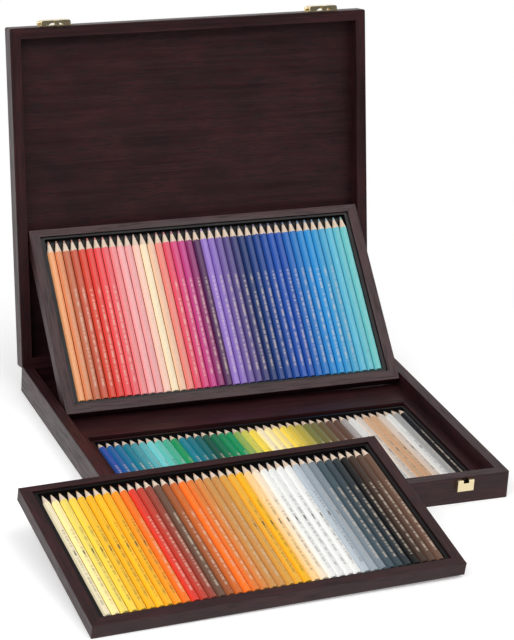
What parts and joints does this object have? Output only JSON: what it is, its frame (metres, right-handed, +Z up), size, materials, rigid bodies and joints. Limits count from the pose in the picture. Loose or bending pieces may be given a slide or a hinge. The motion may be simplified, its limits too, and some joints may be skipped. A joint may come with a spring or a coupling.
{
  "type": "pencil drawer box",
  "caption": "Flat dark wooden case with a hinged lid, brass catches and loose trays that hold rows of sharpened coloured pencils, shown open",
  "frame": {"origin": "middle of the underside of the case base", "axes": "+X to the right of the case, +Y to its hinge side, +Z up"},
  "size_m": [0.4796, 0.5885, 0.3726],
  "materials": {
    "stained_wood": "dark stain, satin lacquer",
    "board": "dark stain",
    "liner": "formed black plastic, soft gloss",
    "brass": "polished",
    "pencils_reds": "lacquered barrel, bare sharpened cone",
    "pencils_pinks": "lacquered barrel, bare sharpened cone",
    "pencils_violets": "lacquered barrel, bare sharpened cone",
    "pencils_blues": "lacquered barrel, bare sharpened cone",
    "pencils_teals": "lacquered barrel, bare sharpened cone",
    "pencils_greens": "lacquered barrel, bare sharpened cone",
    "pencils_olives": "lacquered barrel, bare sharpened cone",
    "pencils_silvers": "lacquered barrel, bare sharpened cone",
    "pencils_yellows": "lacquered barrel, bare sharpened cone",
    "pencils_oranges": "lacquered barrel, bare sharpened cone",
    "pencils_ochres": "lacquered barrel, bare sharpened cone",
    "pencils_greys": "lacquered barrel, bare sharpened cone"
  },
  "bodies": {
    "case_base": {"base_floor_board": "board", "base_front_wall": "stained_wood", "base_left_wall": "stained_wood", "base_liner": "liner", "base_pencils_greens": "pencils_greens", "base_pencils_olives": "pencils_olives", "base_pencils_silvers": "pencils_silvers", "base_pencils_teals": "pencils_teals", "base_rear_wall": "stained_wood", "base_right_wall": "stained_wood", "deck_battens": "board", "deck_left_board": "stained_wood", "deck_rear_board": "stained_wood", "deck_right_board": "stained_wood", "hinge_lower_leaf_left": "brass", "hinge_lower_leaf_right": "brass", "hinge_pin_left": "brass", "hinge_pin_right": "brass", "hinge_screws_lower": "brass", "keeper_left": "brass", "keeper_pins": "brass", "keeper_right": "brass"},
    "lid": {"hinge_screws_upper": "brass", "hinge_upper_leaf_left": "brass", "hinge_upper_leaf_right": "brass", "latch_axle_left": "brass", "latch_axle_right": "brass", "latch_plate_left": "brass", "latch_plate_right": "brass", "latch_screws": "brass", "lid_front_rail": "stained_wood", "lid_left_rail": "stained_wood", "lid_panel": "stained_wood", "lid_rear_rail": "stained_wood", "lid_right_rail": "stained_wood"},
    "leaning_tray": {"leaning_pencils_blues": "pencils_blues", "leaning_pencils_pinks": "pencils_pinks", "leaning_pencils_reds": "pencils_reds", "leaning_pencils_violets": "pencils_violets", "leaning_tray_board": "board", "leaning_tray_front_rail": "stained_wood", "leaning_tray_left_rail": "stained_wood", "leaning_tray_liner": "liner", "leaning_tray_rear_rail": "stained_wood", "leaning_tray_right_rail": "stained_wood"},
    "front_tray": {"front_pencils_greys": "pencils_greys", "front_pencils_ochres": "pencils_ochres", "front_pencils_oranges": "pencils_oranges", "front_pencils_yellows": "pencils_yellows", "front_tray_board": "board", "front_tray_front_rail": "stained_wood", "front_tray_left_rail": "stained_wood", "front_tray_liner": "liner", "front_tray_rear_rail": "stained_wood", "front_tray_right_rail": "stained_wood"},
    "latch_lever_left": {"latch_lever_left": "brass"},
    "latch_lever_right": {"latch_lever_right": "brass"}
  },
  "joints": [
    {"name": "lid_hinge", "type": "hinge", "parent": "case_base", "child": "lid", "pos_m": [0, 0.171, 0.02815], "axis": [1, 0, 0], "range_deg": [0, 102]},
    {"name": "leaning_tray_fold", "type": "hinge", "parent": "lid", "child": "leaning_tray", "pos_m": [0, 0.20579, 0.15783], "axis": [1, 0, 0], "range_deg": [-146.21, 0]},
    {"name": "front_tray_slide", "type": "slide", "parent": "case_base", "child": "front_tray", "axis": [0, -1, 0], "range_m": [0, 0.11]},
    {"name": "latch_lever_left_hinge", "type": "hinge", "parent": "lid", "child": "latch_lever_left", "pos_m": [-0.145, 0.25098, 0.36713], "axis": [-1, 0, 0], "range_deg": [0, 90]},
    {"name": "latch_lever_right_hinge", "type": "hinge", "parent": "lid", "child": "latch_lever_right", "pos_m": [0.145, 0.25098, 0.36713], "axis": [-1, 0, 0], "range_deg": [0, 90]}
  ],
  "couplings": [
    {"joint": "leaning_tray_fold", "follows": "lid_hinge", "ratio": -1.4333},
    {"joint": "front_tray_slide", "follows": "lid_hinge", "m_per_rad": 0.06178}
  ]
}
